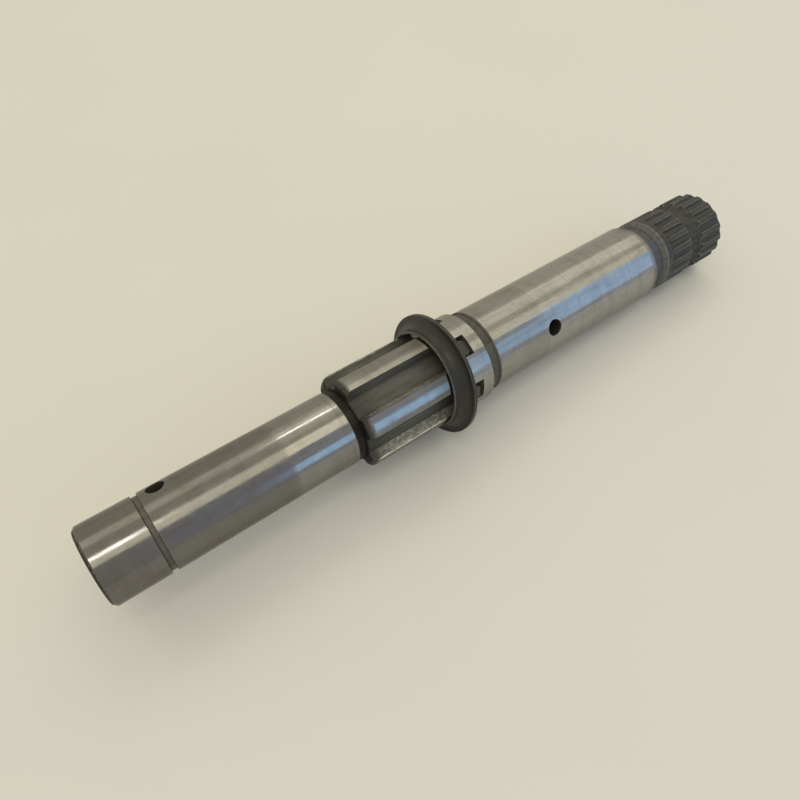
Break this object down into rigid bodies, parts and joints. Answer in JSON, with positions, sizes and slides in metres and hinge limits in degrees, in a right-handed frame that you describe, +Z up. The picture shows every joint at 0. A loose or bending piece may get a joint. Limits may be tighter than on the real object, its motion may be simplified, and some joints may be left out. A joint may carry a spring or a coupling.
{
  "type": "kickstart shaft",
  "caption": "Stepped steel kickstart shaft with straight drive splines, a loose dark spring seat against its collar, ground journals and a finely splined lever end.",
  "frame": {"origin": "On the shaft's axis, in the face of its plain end.", "axes": "+X runs along the shaft from the plain end to the lever splines, +Z is up as the shaft lies, and +Y completes the right-handed frame."},
  "size_m": [0.187, 0.0312, 0.0311],
  "materials": {
    "ground_steel": "ground journals, dark as machined elsewhere",
    "dark_steel": "black oxide"
  },
  "bodies": {
    "root": {"shaft": "ground_steel", "spring_seat": "dark_steel"}
  },
  "joints": []
}
